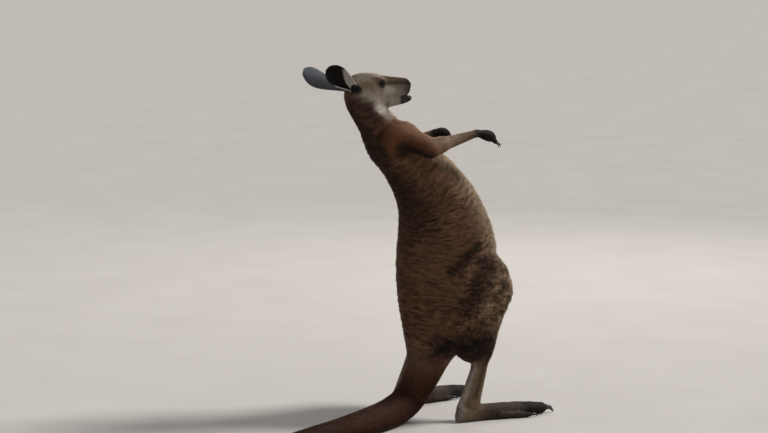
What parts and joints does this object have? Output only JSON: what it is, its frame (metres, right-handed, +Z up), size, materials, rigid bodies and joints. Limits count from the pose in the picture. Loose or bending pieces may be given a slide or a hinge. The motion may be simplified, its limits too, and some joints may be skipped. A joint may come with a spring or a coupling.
{
  "type": "kangaroo",
  "caption": "Life-size standing kangaroo, a still museum-style model resting on its hind feet and tail, head raised and one arm reaching forward.",
  "frame": {"origin": "middle of the model's bounding box in plan, on the floor under the feet and tail", "axes": "+X is the way the animal faces, +Y its left, +Z up"},
  "size_m": [1.0598, 0.5734, 1.0778],
  "materials": {
    "coat_head": "matte short fur",
    "coat_neck": "matte short fur",
    "coat_chest": "matte short fur",
    "coat_belly": "matte short fur",
    "coat_tail_root": "matte short fur",
    "coat_tail_middle": "matte short fur",
    "coat_tail_rear": "matte short fur",
    "coat_tail_tip": "matte short fur",
    "coat_upper_arm_left": "matte short fur",
    "coat_upper_arm_right": "matte short fur",
    "coat_forearm_left": "matte short fur",
    "coat_forearm_right": "matte short fur",
    "coat_hand_left": "matte short fur",
    "coat_hand_right": "matte short fur",
    "coat_thigh_left": "matte short fur",
    "coat_thigh_right": "matte short fur",
    "coat_shin_left": "matte short fur",
    "coat_shin_right": "matte short fur",
    "coat_foot_left": "matte short fur",
    "coat_foot_right": "matte short fur",
    "coat_ear_left": "matte short fur",
    "coat_ear_right": "matte short fur",
    "wet_eye_left": "wet, clear-coated dark brown",
    "horn_claw_big_left": "dull dark horn",
    "horn_claw_outer_left": "dull dark horn",
    "horn_claw_inner_left": "dull dark horn",
    "wet_eye_right": "wet, clear-coated dark brown",
    "horn_claw_big_right": "dull dark horn",
    "horn_claw_outer_right": "dull dark horn",
    "horn_claw_inner_right": "dull dark horn"
  },
  "bodies": {
    "root": {"head": "coat_head", "neck": "coat_neck", "chest": "coat_chest", "belly": "coat_belly", "tail_root": "coat_tail_root", "tail_middle": "coat_tail_middle", "tail_rear": "coat_tail_rear", "tail_tip": "coat_tail_tip", "upper_arm_left": "coat_upper_arm_left", "upper_arm_right": "coat_upper_arm_right", "forearm_left": "coat_forearm_left", "forearm_right": "coat_forearm_right", "hand_left": "coat_hand_left", "hand_right": "coat_hand_right", "thigh_left": "coat_thigh_left", "thigh_right": "coat_thigh_right", "shin_left": "coat_shin_left", "shin_right": "coat_shin_right", "foot_left": "coat_foot_left", "foot_right": "coat_foot_right", "ear_left": "coat_ear_left", "ear_right": "coat_ear_right", "eye_left": "wet_eye_left", "claw_big_left": "horn_claw_big_left", "claw_outer_left": "horn_claw_outer_left", "claw_inner_left": "horn_claw_inner_left", "eye_right": "wet_eye_right", "claw_big_right": "horn_claw_big_right", "claw_outer_right": "horn_claw_outer_right", "claw_inner_right": "horn_claw_inner_right"}
  },
  "joints": []
}
